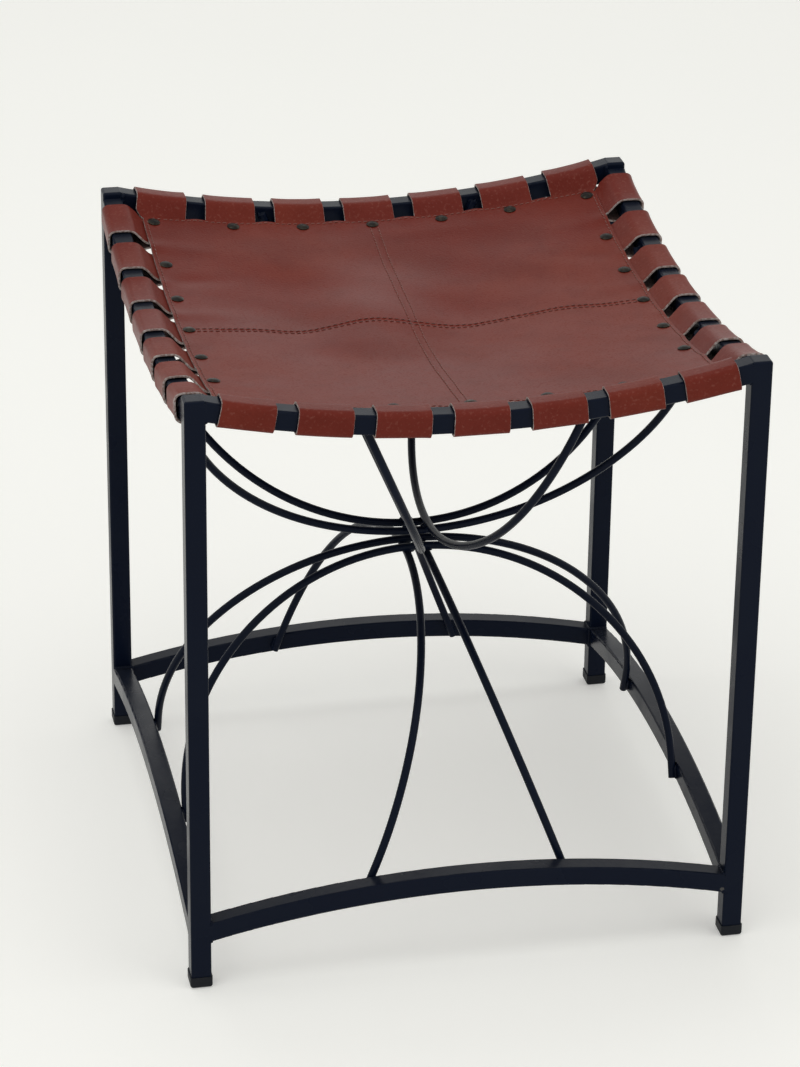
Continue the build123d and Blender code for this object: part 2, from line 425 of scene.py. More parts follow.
@dataclass(frozen=True)
class RawEdge:
    """Cut edge of the leather: pale packed fibres."""

    name: str
    light: Colour = (0.48, 0.42, 0.40)
    dark: Colour = (0.24, 0.15, 0.13)
    stain_share: float = 0.5
    roughness: float = 0.85

    def material(self, effects: Effects) -> bpy.types.Material:
        """Build the finish.

        Args:
            effects: the shared node groups.

        Returns:
            The edge material.
        """
        material, graph, shader = start_material(self.name, {"Roughness": self.roughness})
        fibre = graph.mask(effects.patches, Scale=520.0, Low=0.38, High=0.62)
        stain = graph.mask(effects.patches, Scale=26.0, Low=0.5, High=0.75)
        colour = graph.mix(fibre, self.light, self.dark)
        colour = graph.tint(colour, stain, self.stain_share, self.dark)
        normal = graph.bump(fibre, depth=0.2 * MM, strength=0.6)
        graph.feed(shader, {"Base Color": colour, "Normal": normal})
        return material


@dataclass(frozen=True)
class Suede:
    """Napped flesh side of the leather."""

    name: str
    base: Colour = (0.115, 0.050, 0.038)
    deep: Colour = (0.060, 0.024, 0.018)
    nap_share: float = 0.45
    cloud_share: float = 0.5
    roughness: float = 0.95
    sheen: float = 0.25

    def material(self, effects: Effects) -> bpy.types.Material:
        """Build the finish.

        Args:
            effects: the shared node groups.

        Returns:
            The suede material.
        """
        material, graph, shader = start_material(
            self.name, {"Roughness": self.roughness, "Sheen Weight": self.sheen})
        nap = graph.mask(effects.patches, Scale=900.0, Low=0.35, High=0.65)
        cloud = graph.mask(effects.patches, Scale=18.0, Low=0.4, High=0.68)
        colour = graph.tint(self.base, nap, self.nap_share, self.deep)
        colour = graph.tint(colour, cloud, self.cloud_share, self.deep)
        normal = graph.bump(nap, depth=0.3 * MM, strength=0.5)
        graph.feed(shader, {"Base Color": colour, "Normal": normal})
        return material


@dataclass(frozen=True)
class PowderCoat:
    """Satin black paint on steel, with chips, rubbed edges and a little dust."""

    name: str
    base: Colour = (0.0036, 0.0068, 0.0180)
    dull: Colour = (0.0056, 0.0092, 0.0195)
    rubbed: Colour = (0.022, 0.024, 0.028)
    dust: Colour = (0.060, 0.062, 0.064)
    primer: Colour = (0.10, 0.095, 0.09)
    cloud_share: float = 0.6
    worn_share: float = 0.35
    chip_share: float = 0.8
    specular: float = 0.075
    roughness: float = 0.25
    cloud_roughness: float = 0.12
    chip_roughness: float = 0.3
    peel_height: float = 0.35

    def material(self, effects: Effects) -> bpy.types.Material:
        """Build the finish.

        Args:
            effects: the shared node groups.

        Returns:
            The paint material.
        """
        material, graph, shader = start_material(self.name, {"Specular IOR Level": self.specular})
        cloud = graph.mask(effects.patches, Scale=16.0, Low=0.42, High=0.72)
        peel = graph.mask(effects.patches, Scale=850.0, Low=0.3, High=0.7)
        chips = graph.mask(effects.specks, Scale=42.0, Size=0.055, Share=0.10)
        worn = graph.mask(effects.edge_wear, Radius=1.6 * MM, Breaks=60.0, Amount=0.5)
        dust = graph.mask(effects.dust, Scale=24.0, Amount=0.22)
        colour = graph.tint(self.base, cloud, self.cloud_share, self.dull)
        colour = graph.tint(colour, worn, self.worn_share, self.rubbed)
        colour = graph.mix(dust, colour, self.dust)
        colour = graph.tint(colour, chips, self.chip_share, self.primer)
        rough = graph.math("MULTIPLY_ADD", cloud, self.cloud_roughness, self.roughness)
        rough = graph.math("MULTIPLY_ADD", chips, self.chip_roughness, rough)
        height = graph.math("SUBTRACT", graph.math("MULTIPLY", peel, self.peel_height), chips)
        normal = graph.bump(height, depth=0.1 * MM, strength=0.5)
        graph.feed(shader, {"Base Color": colour, "Roughness": rough, "Normal": normal})
        return material


@dataclass(frozen=True)
class DarkMetal:
    """Blackened rivet metal, brighter where it is rubbed, with a painted highlight on the rubbed
    rim.
    """

    name: str
    base: Colour = (0.011, 0.010, 0.009)
    # Worn brass colour, which on the rim is also a painted highlight.
    bright: Colour = (0.105, 0.078, 0.046)
    cloud_share: float = 0.28
    metallic: float = 0.85
    dull_roughness: float = 0.42
    bright_roughness: float = 0.3

    def material(self, effects: Effects) -> bpy.types.Material:
        """Build the finish.

        Args:
            effects: the shared node groups.

        Returns:
            The metal material.
        """
        material, graph, shader = start_material(self.name, {"Metallic": self.metallic})
        cloud = graph.mask(effects.patches, Scale=230.0, Low=0.45, High=0.7)
        # The rim is lightened partly as worn brass and partly as a painted highlight.
        rubbed = graph.mask(effects.edge_wear, Radius=1.2 * MM, Breaks=260.0, Amount=0.8)
        colour = graph.tint(self.base, cloud, self.cloud_share, self.bright)
        colour = graph.mix(rubbed, colour, self.bright)
        rough = graph.span(cloud, 0.0, 1.0, self.dull_roughness, self.bright_roughness)
        normal = graph.bump(cloud, depth=0.1 * MM, strength=0.3)
        graph.feed(shader, {"Base Color": colour, "Roughness": rough, "Normal": normal})
        return material


@dataclass(frozen=True)
class MouldedPlastic:
    """Matt black plastic of the foot caps, scuffed and rubbed at its edges."""

    name: str
    base: Colour = (0.0055, 0.0070, 0.0110)
    scuffed: Colour = (0.022, 0.023, 0.025)
    scuff_share: float = 0.5
    specular: float = 0.2
    roughness: float = 0.55
    scuffed_roughness: float = 0.75

    def material(self, effects: Effects) -> bpy.types.Material:
        """Build the finish.

        Args:
            effects: the shared node groups.

        Returns:
            The plastic material.
        """
        material, graph, shader = start_material(self.name, {"Specular IOR Level": self.specular})
        pits = graph.mask(effects.patches, Scale=620.0, Low=0.35, High=0.7)
        scuffs = graph.mask(effects.patches, Scale=120.0, Low=0.52, High=0.72)
        worn = graph.mask(effects.edge_wear, Radius=1.6 * MM, Breaks=200.0, Amount=0.8)
        colour = graph.tint(self.base, scuffs, self.scuff_share, self.scuffed)
        colour = graph.mix(worn, colour, self.scuffed)
        rough = graph.span(scuffs, 0.0, 1.0, self.roughness, self.scuffed_roughness)
        normal = graph.bump(pits, depth=0.2 * MM, strength=0.4)
        graph.feed(shader, {"Base Color": colour, "Roughness": rough, "Normal": normal})
        return material


@dataclass(frozen=True)
class Thread:
    """Dark red waxed sewing thread."""

    name: str
    base: Colour = (0.085, 0.018, 0.012)
    worn: Colour = (0.18, 0.065, 0.050)
    fuzz_share: float = 0.6
    roughness: float = 0.6
    sheen: float = 0.1

    def material(self, effects: Effects) -> bpy.types.Material:
        """Build the finish.

        Args:
            effects: the shared node groups.

        Returns:
            The thread material.
        """
        material, graph, shader = start_material(
            self.name, {"Roughness": self.roughness, "Sheen Weight": self.sheen})
        fuzz = graph.mask(effects.patches, Scale=1500.0, Low=0.4, High=0.65)
        colour = graph.tint(self.base, fuzz, self.fuzz_share, self.worn)
        normal = graph.bump(fuzz, depth=0.1 * MM, strength=0.5)
        graph.feed(shader, {"Base Color": colour, "Normal": normal})
        return material


class Finishes:
    """Every material of the stool, built once."""

    def __init__(self) -> None:
        """Build the shared effects and the materials."""
        effects = Effects()
        self.paint = PowderCoat("satin_black_paint").material(effects)
        self.plastic = MouldedPlastic("foot_plastic").material(effects)
        self.metal = DarkMetal("rivet_dark_metal").material(effects)
        self.thread = Thread("waxed_thread").material(effects)
        # A paler copy of the same thread: a painted highlight for the rows that are seen along
        # their length.
        self.pale_thread = Thread("rubbed_thread", base=(0.17, 0.052, 0.038),
                                  worn=(0.27, 0.12, 0.095)).material(effects)
        self.hide = Hide("seat_hide").material(effects)
        self.strap_hide = Hide("strap_hide", base=(0.160, 0.0240, 0.0165), fleck_share=0.45,
                               pool_share=0.22).material(effects)
        self.cut = RawEdge("raw_leather_edge").material(effects)
        self.suede = Suede("flesh_side").material(effects)

    def leather(self, grain: bpy.types.Material) -> list[bpy.types.Material]:
        """Materials of a leather piece with this grain side, in the order of Face."""
        return [grain, self.cut, self.suede]


def finish_nodes(starts: tuple[str, ...], material: bpy.types.Material) -> None:
    """Give nodes of the frame one material.

    Args:
        starts: how the nodes' names start.
        material: their finish.
    """
    for name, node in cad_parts.items():
        if name.startswith(starts):
            node.data.materials.clear()
            node.data.materials.append(material)
            log.info("%s: %s", name, material.name)


# Meshes


def make_piece(name: str, verts: np.ndarray, faces: Faces, materials: Sequence[bpy.types.Material],
               places: Sequence[int] | None = None) -> bpy.types.Object:
    """Make a mesh piece that rides on the stool.

    Args:
        name: the piece's name.
        verts: points in metres.
        faces: point numbers of each face.
        materials: the piece's materials.
        places: material number of each face.

    Returns:
        The new object.
    """
    mesh = bpy.data.meshes.new(name)
    mesh.from_pydata([tuple(v) for v in verts], [], faces)
    for material in materials:
        mesh.materials.append(material)
    if places is not None:
        mesh.polygons.foreach_set("material_index", np.asarray(places, np.int32))
    mesh.polygons.foreach_set("use_smooth", np.ones(len(mesh.polygons), bool))
    mesh.update()
    piece = bpy.data.objects.new(name, mesh)
    bpy.context.scene.collection.objects.link(piece)
    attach(piece, "root")
    log.info("%s: %d faces", name, len(mesh.polygons))
    return piece


def unit(v: np.ndarray) -> np.ndarray:
    """Scale vectors to length 1 along the last axis."""
    return v / np.maximum(np.linalg.norm(v, axis=-1, keepdims=True), TINY)


def hump(distance: float, width: float) -> float:
    """Smooth rise, 1 at no distance, that dies out over a width."""
    return math.exp(-(distance / width)**2)


def even_points(line: np.ndarray, step: float, least: int) -> tuple[np.ndarray, np.ndarray]:
    """Spread points evenly along a line.

    Args:
        line: the line's own points.
        step: spacing wanted.
        least: fewest points.

    Returns:
        The points, and how far along the line each lies.
    """
    far = np.r_[0, np.cumsum(np.linalg.norm(np.diff(line, axis=0), axis=1))]
    even = np.linspace(0, far[-1], max(least, int(far[-1] / step)))
    return np.stack([np.interp(even, far, numbers) for numbers in line.T], -1), even


def rounded_path(corners: Sequence[Place], radii: Sequence[float], step: float) -> np.ndarray:
    """Flat path with its corners rounded.

    Args:
        corners: points of the path.
        radii: radius at each inner corner.
        step: spacing of the points put out.

    Returns:
        Evenly spaced points of the path.
    """
    most_of_a_leg, arc_points, least = 0.48, 9, 4
    points = [np.array(c, float) for c in corners]
    line = [points[0]]
    for before, corner, after, radius in zip(points, points[1:], points[2:], radii):
        a, b = unit(before - corner), unit(after - corner)
        half = math.acos(max(-1.0, min(1.0, float(a @ b)))) / 2
        leg = min(np.linalg.norm(before - corner), np.linalg.norm(after - corner))
        reach = min(radius / math.tan(half), most_of_a_leg * leg)
        start, end = corner + a * reach, corner + b * reach
        # A conic through the two tangent points with this weight is an arc.
        weight = math.sin(half)
        for t in np.linspace(0, 1, arc_points):
            pull = 2 * weight * t * (1 - t)
            blend = (1 - t)**2 * start + pull * corner + t**2 * end
            line.append(blend / ((1 - t)**2 + pull + t**2))
    line.append(points[-1])
    return even_points(np.array(line), step, least)[0]


def ring_faces(rings: int, sides: int) -> Faces:
    """Faces of a closed skin over rings of points.

    Args:
        rings: number of rings.
        sides: points in each.

    Returns:
        The faces round the sides, then a lid at each end.
    """
    faces = []
    for i, j in itertools.product(range(rings - 1), range(sides)):
        k = (j + 1) % sides
        faces.append((i * sides + j, i * sides + k, (i + 1) * sides + k, (i + 1) * sides + j))
    faces.append(tuple(range(sides))[::-1])
    faces.append(tuple(range((rings - 1) * sides, rings * sides)))
    return faces


def tube(points: np.ndarray, radii: np.ndarray, sides: int = 8) -> tuple[np.ndarray, Faces]:
    """Round tube along points, closed at both ends.

    Args:
        points: places along the tube.
        radii: radius at each place.
        sides: sides of the tube.

    Returns:
        Points and faces.
    """
    steep, nearly_along = 0.9, 0.95
    way = unit(np.gradient(points, axis=0))
    aside = UP if abs(way[:, 2]).max() < steep else np.array([0.0, 1.0, 0.0])
    if abs(way @ aside).max() > nearly_along:
        aside = np.array([1.0, 0.0, 0.0])
    across = unit(np.cross(way, aside))
    over = np.cross(across, way)
    turn = np.linspace(0, 2 * math.pi, sides, endpoint=False)[None, :, None]
    ring = np.cos(turn) * across[:, None] + np.sin(turn) * over[:, None]
    verts = (points[:, None] + ring * radii[:, None, None]).reshape(-1, 3)
    return verts, ring_faces(len(points), sides)


@dataclass
class LeatherSheet:
    """A closed sheet of leather round a grid of points on its middle layer."""

    grid: np.ndarray
    thick: float
    bulge: float = 0.2

    def normals(self) -> np.ndarray:
        """Normals of the grid, from the way it runs both ways."""
        along, across = np.gradient(self.grid, axis=0), np.gradient(self.grid, axis=1)
        return unit(np.cross(along, across))

    def rim(self) -> list[tuple[int, int]]:
        """Walk round the edge of the grid.

        Returns:
            Its grid places, in order.
        """
        n, m = self.grid.shape[:2]
        there = [(i, 0) for i in range(n - 1)] + [(n - 1, j) for j in range(m - 1)]
        back = [(i, m - 1) for i in range(n - 1, 0, -1)] + [(0, j) for j in range(m - 1, 0, -1)]
        return there + back

    def bulged(self) -> np.ndarray:
        """Middle line of the cut edge, which bulges a little.

        Returns:
            A point for each place of the rim.
        """
        n, m = self.grid.shape[:2]
        rim, normals = self.rim(), self.normals()
        middle = np.array([self.grid[p] for p in rim])
        run = np.roll(middle, -1, axis=0) - np.roll(middle, 1, axis=0)
        side = np.array([normals[p] for p in rim])
        outward = unit(np.cross(side, run)) * self.thick * self.bulge
        inner = np.array([self.grid[min(max(i, 1), n - 2), min(max(j, 1), m - 2)] for i, j in rim])
        outward *= np.sign(((middle - inner) * outward).sum(1, keepdims=True) + TINY)
        return middle + outward

    def build(self) -> tuple[np.ndarray, Faces, list[int]]:
        """Make the sheet's two sides and its cut edge.

        Returns:
            Points, faces, and the Face value of each face.
        """
        n, m = self.grid.shape[:2]
        layer = n * m
        out = self.normals() * self.thick / 2
        verts = np.concatenate([(self.grid + out).reshape(-1, 3),
                                (self.grid - out).reshape(-1, 3), self.bulged()])
        faces, places = [], []
        for i, j in itertools.product(range(n - 1), range(m - 1)):
            a, b = i * m + j, (i + 1) * m + j
            around = (a, b, b + 1, a + 1)
            faces += [around, tuple(layer + k for k in reversed(around))]
            places += [Face.GRAIN.value, Face.FLESH.value]
        spots = [i * m + j for i, j in self.rim()]
        edge = [2 * layer + k for k in range(len(spots))]
        for a, b, e, f in zip(spots, spots[1:] + spots[:1], edge, edge[1:] + edge[:1]):
            faces += [(b, a, e, f), (f, e, layer + a, layer + b)]
            places += [Face.CUT.value, Face.CUT.value]
        return verts, faces, places

    def piece(self, name: str, materials: Sequence[bpy.types.Material],
              slot: str) -> bpy.types.Object:
        """Make the piece, with crisp lines between its grain and its cut edge.

        Args:
            name: its name.
            materials: its materials, in the order of Face.
            slot: name of its material slot; not used.

        Returns:
            The new object.
        """
        verts, faces, places = self.build()
        piece = make_piece(name, verts, faces, materials, places)
        kinds: dict[tuple[int, int], set[int]] = {}
        for polygon in piece.data.polygons:
            for key in polygon.edge_keys:
                kinds.setdefault(key, set()).add(polygon.material_index)
        for edge in piece.data.edges:
            edge.use_edge_sharp = len(kinds[edge.key]) > 1
        return piece


class Bundle:
    """Gathers the points and faces of many small parts into one piece."""

    def __init__(self) -> None:
        """Start empty."""
        self.verts: list[np.ndarray] = []
        self.faces: Faces = []
        self.count = 0

    def add(self, verts: np.ndarray, faces: Iterable[tuple[int, ...]]) -> None:
        """Add one part.

        Args:
            verts: its points.
            faces: its faces, counted from its own first point.
        """
        self.faces += [tuple(i + self.count for i in f) for f in faces]
        self.verts.append(verts)
        self.count += len(verts)

    def piece(self, name: str, material: bpy.types.Material, slot: str,
              smooth: bool = True) -> bpy.types.Object:
        """Make the piece.

        Args:
            name: its name.
            material: its material.
            slot: name of its material slot; not used.
            smooth: whether its faces are shaded smooth.

        Returns:
            The new object.
        """
        piece = make_piece(name, np.concatenate(self.verts), self.faces, [material])
        shape = bmesh.new()
        shape.from_mesh(piece.data)
        bmesh.ops.recalc_face_normals(shape, faces=shape.faces)
        for face in shape.faces:
            face.smooth = smooth
        shape.to_mesh(piece.data)
        shape.free()
        return piece


# The frame's own shapes


def node_points(name: str) -> np.ndarray:
    """Points of a node of the frame."""
    return np.array([v.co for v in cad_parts[name].data.vertices])


def surface_tree(name: str) -> BVHTree:
    """Search tree over the faces of a node of the frame."""
    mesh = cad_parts[name].data
    return BVHTree.FromPolygons([v.co for v in mesh.vertices],
                                [tuple(p.vertices) for p in mesh.polygons])


def strap_names(side: Side) -> list[str]:
    """Names of the strap nodes on one side, in order."""
    names = [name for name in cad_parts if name.startswith(f"strap_{side.label}_")]
    return sorted(sorted(names), key=len)


@dataclass
class Rail:
    """A bowed top rail, measured on its node."""

    side: Side
    tube: float = field(init=False)
    half: float = field(init=False)
    inner: float = field(init=False)
    middle: float = field(init=False)
    radius: float = field(init=False)

    def __post_init__(self) -> None:
        """Read the rail's sizes from the frame."""
        low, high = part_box(f"top_rail_{self.side.label}")
        size = high - low
        along, out = self.side.axis, 1 - self.side.axis
        self.tube = size[out]
        self.half = size[along] / 2
        self.inner = min(abs(low[out]), abs(high[out]))
        self.middle = low.z + self.tube
        sag = high.z - self.middle
        self.radius = (self.half**2 + sag**2) / (2 * sag)

    @property
    def axis_radius(self) -> float:
        """Radius of the tube's own middle line."""
        return self.radius + self.tube / 2

    @property
    def slope(self) -> float:
        """Slope of the rail's top at its ends."""
        return self.half / math.sqrt(self.radius**2 - self.half**2)

    def at(self, place: np.ndarray, inward: np.ndarray, height: np.ndarray) -> np.ndarray:
        """Points near the rail.

        Args:
            place: distance along the rail from its middle.
            inward: distance from the rail's inner face towards the seat.
            height: height over the rail's top, square to its bend.

        Returns:
            Points in the stool's frame.
        """
        turn = place / self.axis_radius
        reach = self.radius - height
        local = np.stack([np.sin(turn) * reach, inward - self.inner + 0 * turn,
                          self.middle + self.radius - np.cos(turn) * reach], -1)
        return local @ self.side.spin.T


@dataclass
class PanelForm:
    """Upper face of the seat panel, read from its node."""

    edge: float = 0.4 * MM
    above: float = 100.0 * MM
    tries: tuple[float, ...] = (1.0, 0.995, 0.99, 0.98)

    def __post_init__(self) -> None:
        """Measure the node, and the gaps between the straps that hold it."""
        self.tree = surface_tree("seat_panel")
        self.x, self.y, self.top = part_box("seat_panel")[1]
        self.gaps_x, self.gaps_y = self._gaps(Side.FRONT), self._gaps(Side.RIGHT)

    def _gaps(self, side: Side) -> list[float]:
        """Places between the straps of one side.

        Args:
            side: the side.

        Returns:
            The middle of each gap.
        """
        boxes = [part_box(name) for name in strap_names(side)]
        middles = sorted((low[side.axis] + high[side.axis]) / 2 for low, high in boxes)
        return [(a + b) / 2 for a, b in zip(middles, middles[1:])]

    def height(self, x: float, y: float) -> float:
        """Height of the upper face.

        Args:
            x: place across the seat.
            y: place from front to back.

        Returns:
            Height over the floor.
        """
        x = max(-self.x + self.edge, min(self.x - self.edge, x))
        y = max(-self.y + self.edge, min(self.y - self.edge, y))
        # A place outside a rounded corner meets nothing, so it is tried again further in.
        for share in self.tries:
            start = Vector((x * share, y * share, self.top + self.above))
            hit = self.tree.ray_cast(start, Vector((0, 0, -1)))[0]
            if hit:
                return hit.z
        return self.top


# Sub-assemblies


@dataclass
class TubeFrame:
    """Welded tube frame and bracing rods: painted nodes and the welds on them."""

    finishes: Finishes
    seed: int = 11
    # Beads, and how they ripple
    bead: float = 1.5 * MM
    bead_inset: float = 0.2 * MM
    bead_step: float = 0.7 * MM
    bead_points: int = 6
    bead_taper: float = 1.6 * MM
    bead_tip: float = 0.02
    ripple: float = 0.13
    ripple_run: float = 0.42 * MM
    ripple_start: float = 6.0
    uneven: float = 0.12
    # Beads beside the rods' ends
    rod_bead: float = 1.4 * MM
    rod_bead_start: float = 0.8 * MM
    rod_bead_run: float = 11.0 * MM
    rod_bead_sunk: float = 0.6 * MM
    rod_bead_aside: float = 2.3 * MM
    rod_tip: float = 5.0 * MM
    rod_lean: float = 0.38
    # Tacks between rods that meet
    tack: float = 1.7 * MM
    tack_gap: float = 2.5 * MM
    tack_run: float = 5.0 * MM
    tack_tries: int = 12
    # Fillings that are ground down: at a joint's outer face, and over a rail's end
    flush_start: float = 0.5 * MM
    flush_rise: float = 0.2 * MM
    flush_fall: float = 1.6 * MM
    flush_stop: float = 2.0 * MM
    flush_proud: float = 0.03 * MM
    flush_deep: float = 0.8 * MM
    flush_room: float = 1.0 * MM
    crown_step: float = 2.0 * MM
    crown_run: float = 8.0 * MM
    crown_stop: float = 2.6 * MM
    crown_deep: float = 0.9 * MM
    crown_room: float = 1.4 * MM
    skin: float = 0.02 * MM

    def dress(self) -> None:
        """Paint the tubes and rods, and finish the foot caps."""
        finish_nodes(("leg_", "top_rail_", "stretcher_", "lower_rod_", "upper_rod_"),
                     self.finishes.paint)
        finish_nodes(("foot_cap_",), self.finishes.plastic)

    def weld(self) -> None:
        """Weld the tubes at the legs, and the rods at their ends and in the middle."""
        dice = random.Random(self.seed)
        beads, ground = Bundle(), Bundle()
        for side in Side:
            for kind in ("top_rail", "stretcher"):
                self._tube_ends(beads, ground, f"{kind}_{side.label}", side, dice)
            for kind in ("lower_rod", "upper_rod"):
                self._rod_ends(beads, f"{kind}_{side.label}", side, dice)
        self._tacks(beads, dice)
        beads.piece("weld_beads", self.finishes.paint, "frame_paint")
        ground.piece("ground_welds", self.finishes.paint, "frame_paint", smooth=False)

    def _run(self, beads: Bundle, points: np.ndarray, dice: random.Random, radius: float) -> None:
        """Lay one rippled bead.

        Args:
            beads: where the bead goes.
            points: the line it follows.
            dice: source of unevenness.
            radius: mean radius.
        """
        line, far = even_points(points, self.bead_step, self.bead_points)
        start = dice.uniform(0, self.ripple_start)
        uneven = np.array([dice.uniform(-self.uneven, self.uneven) for _ in far])
        swell = 1 + self.ripple * np.sin(far / self.ripple_run + start) + uneven
        to_end = np.minimum(far, far[-1] - far)
        taper = np.sqrt(np.clip(to_end / self.bead_taper, self.bead_tip, 1))
        beads.add(*tube(line, radius * swell * taper))

    def _fill(self, ground: Bundle, section: Sequence[Place], start: np.ndarray, stop: np.ndarray,
              room: float, ways: tuple[np.ndarray, np.ndarray]) -> None:
        """Lay one filling that is ground down.

        Args:
            ground: where the filling goes.
            section: points of its section.
            start: first end of the joint.
            stop: second end of the joint.
            room: length left free at both ends.
            ways: the ways that the section's two numbers run.
        """
        short = unit(stop - start) * room
        rings = [[end + ways[0] * a + ways[1] * h for a, h in section]
                 for end in (start + short, stop - short)]
        ground.add(np.array(rings).reshape(-1, 3), ring_faces(len(rings), len(section)))

    def _flush_section(self) -> list[Place]:
        """Section of the filling beside a leg's rounded edge, level with both tubes.

        Returns:
            Points (towards the leg, outwards).
        """
        return [(-self.flush_start, -self.skin), (-self.flush_rise, self.flush_proud),
                (self.flush_fall, self.flush_proud), (self.flush_stop, -self.skin),
                (self.flush_stop, -self.flush_deep), (-self.flush_start, -self.flush_deep)]

    def _crown_section(self, step: float, slope: float) -> list[Place]:
        """Section of the filling that carries a rail's top on into the leg's top.

        Args:
            step: how far the leg's top is above the rail's end.
            slope: slope of the rail's end.

        Returns:
            Points (towards the leg, upwards).
        """
        start = -self.crown_run
        return [(start, slope * start + self.skin), (self.crown_stop, step + self.skin),
                (self.crown_stop, step - self.crown_deep), (0.0, -self.crown_deep),
                (start, slope * start - self.crown_deep)]

    def _tube_ends(self, beads: Bundle, ground: Bundle, name: str, side: Side,
                   dice: random.Random) -> None:
        """Weld both ends of a rail or stretcher to its legs.

        Args:
            beads: where the beads go.
            ground: where the fillings go.
            name: the tube's node.
            side: the side it is on.
            dice: source of unevenness.
        """
        points = node_points(name)
        along, out = side.spin[:, 0], -side.spin[:, 1]
        half = (points @ along).max()
        inner, outer = (points @ out).min(), (points @ out).max()
        is_rail = name.startswith("top_rail")
        leg_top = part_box("leg_front_left")[1].z
        for toward in (-along, along):
            end = points[abs(points @ toward - half) < self.bead_inset]
            low, high = end[:, 2].min(), end[:, 2].max()
            joint = toward * half
            line = [(outer, low), (inner, low), (inner, high)]
            if not is_rail:
                line.append((outer, high))
            corner = joint - toward * self.bead_inset
            self._run(beads, np.array([corner + out * a + UP * z for a, z in line]), dice,
                      self.bead)
            face = joint + out * outer
            self._fill(ground, self._flush_section(), face + UP * low, face + UP * high,
                       self.flush_room, (toward, out))
            step = leg_top - high
            if is_rail and step < self.crown_step:
                rim = joint + UP * high
                self._fill(ground, self._crown_section(step, Rail(side).slope), rim + out * inner,
                           rim + out * outer, self.crown_room, (toward, UP))

    def _tacks(self, beads: Bundle, dice: random.Random) -> None:
        """Tack the rods to each other where they meet in the middle.

        Args:
            beads: where the beads go.
            dice: source of unevenness.
        """
        rods = {f"{kind}_{side.label}": side
                for kind in ("lower_rod", "upper_rod") for side in Side}
        trees = {name: surface_tree(name) for name in rods}
        for first, second in itertools.combinations(rods, 2):
            there = Vector((0, 0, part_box("lower_rod_front")[1].z))
            for _ in range(self.tack_tries):
                here = trees[first].find_nearest(there)[0]
                there = trees[second].find_nearest(here)[0]
            if (there - here).length > self.tack_gap:
                continue
            middle, reach = (here + there) / 2, Vector()
            reach[rods[first].axis] = self.tack_run
            self._run(beads, np.array([middle - reach, middle + reach]), dice, self.tack)

    def _rod_ends(self, beads: Bundle, name: str, side: Side, dice: random.Random) -> None:
        """Weld both ends of a rod to the tubes they lie on, with a bead on each side.

        Args:
            beads: where the beads go.
            name: the rod's node.
            side: the side it is on.
            dice: source of unevenness.
        """
        points = node_points(name)
        along, out = side.axis, 1 - side.axis
        is_upper = name.startswith("upper")
        tip = points[:, 2].max() if is_upper else points[:, 2].min()
        back = -1 if is_upper else 1
        face = abs(points[:, along]).max() - self.rod_bead_sunk
        for sign in (-1, 1):
            at_tip = abs(points[:, 2] - tip) < self.rod_tip
            near = points[(points[:, along] * sign > 0) & at_tip]
            middle = (near.min(0) + near.max(0)) / 2
            lean = -back * self.rod_lean * math.copysign(1, middle[out])
            for aside in (-self.rod_bead_aside, self.rod_bead_aside):
                ends = np.zeros((2, 3))
                ends[:, 2] = tip + back * np.array([self.rod_bead_start, self.rod_bead_run])
                ends[:, along] = sign * face
                ends[:, out] = middle[out] + (ends[:, 2] - middle[2]) * lean + aside
                self._run(beads, ends, dice, self.rod_bead)


@dataclass(frozen=True)
class Wave:
    """A wave of the hide along the cross seam: its place, width and height."""

    place: float
    width: float
    lift: float


@dataclass(frozen=True)
class Ripple:
    """A faint ripple of the hide: its height, its run both ways and where it starts."""

    lift: float
    run_x: float
    run_y: float
    start: float


